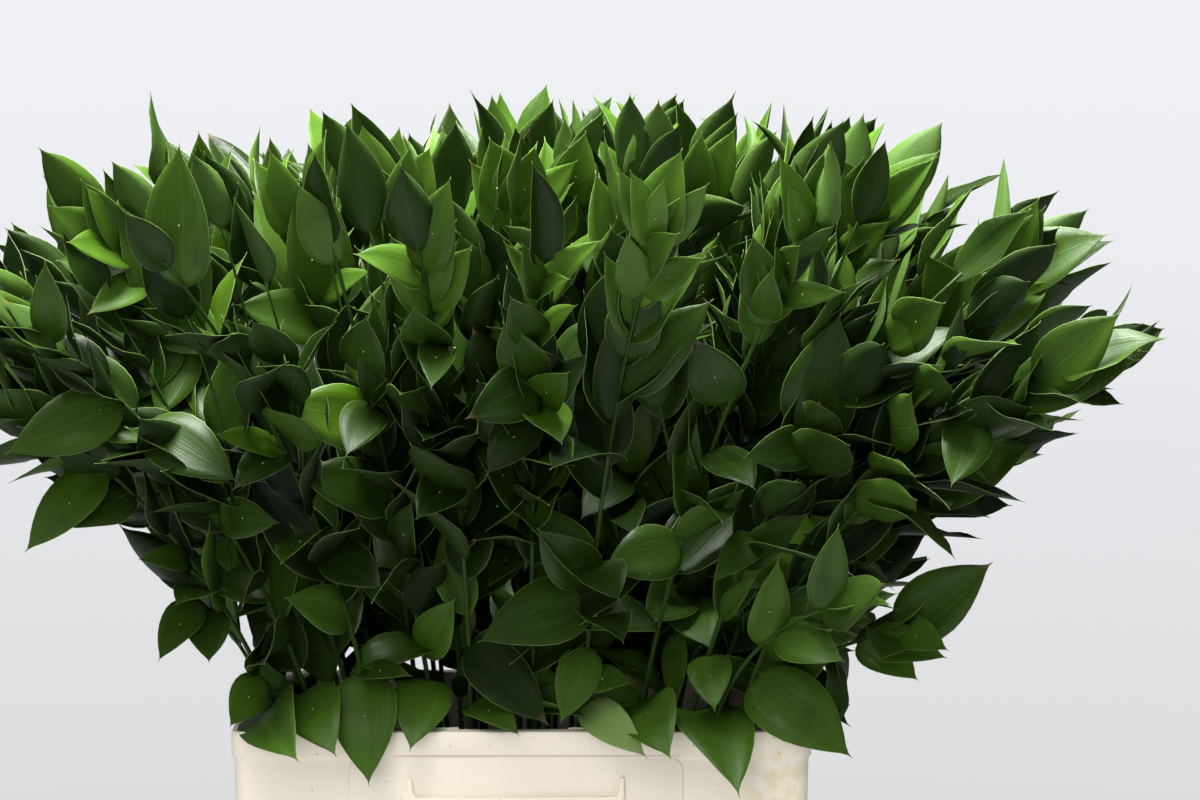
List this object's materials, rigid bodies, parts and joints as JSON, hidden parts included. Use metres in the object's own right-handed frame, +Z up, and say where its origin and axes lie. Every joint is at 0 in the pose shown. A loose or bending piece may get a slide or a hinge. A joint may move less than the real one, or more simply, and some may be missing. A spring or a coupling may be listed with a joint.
{
  "type": "crate of fresh ruscus stems",
  "caption": "Tall tapered crate with a wide flat rim, filled with leafy ruscus stems that stand in shallow water and spread in a dense dome over the rim.",
  "frame": {"origin": "middle of the crate's flat underside", "axes": "+Z up, +X along the crate's long side, -Y towards the front panel that the picture shows"},
  "size_m": [0.9069, 0.6865, 0.8052],
  "materials": {
    "shell": "cream injection-moulded plastic, semi-matt, with faint scuffs",
    "foliage": "fresh leathery green leaf with a soft waxy sheen, and smooth green stalk",
    "water": "still clear water"
  },
  "bodies": {
    "root": {"crate": "shell", "water": "water", "stem_01": "foliage", "stem_02": "foliage", "stem_03": "foliage", "stem_04": "foliage", "stem_05": "foliage", "stem_06": "foliage", "stem_07": "foliage", "stem_08": "foliage", "stem_09": "foliage", "stem_10": "foliage", "stem_11": "foliage", "stem_12": "foliage", "stem_13": "foliage", "stem_14": "foliage", "stem_15": "foliage", "stem_16": "foliage", "stem_17": "foliage", "stem_18": "foliage", "stem_19": "foliage", "stem_20": "foliage", "stem_21": "foliage", "stem_22": "foliage", "stem_23": "foliage", "stem_24": "foliage", "stem_25": "foliage", "stem_26": "foliage", "stem_27": "foliage", "stem_28": "foliage", "stem_29": "foliage", "stem_30": "foliage", "stem_31": "foliage", "stem_32": "foliage", "stem_33": "foliage", "stem_34": "foliage", "stem_35": "foliage", "stem_36": "foliage", "stem_37": "foliage", "stem_38": "foliage", "stem_39": "foliage", "stem_40": "foliage", "stem_41": "foliage", "stem_42": "foliage", "stem_43": "foliage", "stem_44": "foliage", "stem_45": "foliage", "stem_46": "foliage", "stem_47": "foliage", "stem_48": "foliage", "stem_49": "foliage", "stem_50": "foliage", "stem_51": "foliage", "stem_52": "foliage", "stem_53": "foliage", "stem_54": "foliage", "stem_55": "foliage", "stem_56": "foliage", "stem_57": "foliage"}
  },
  "joints": []
}
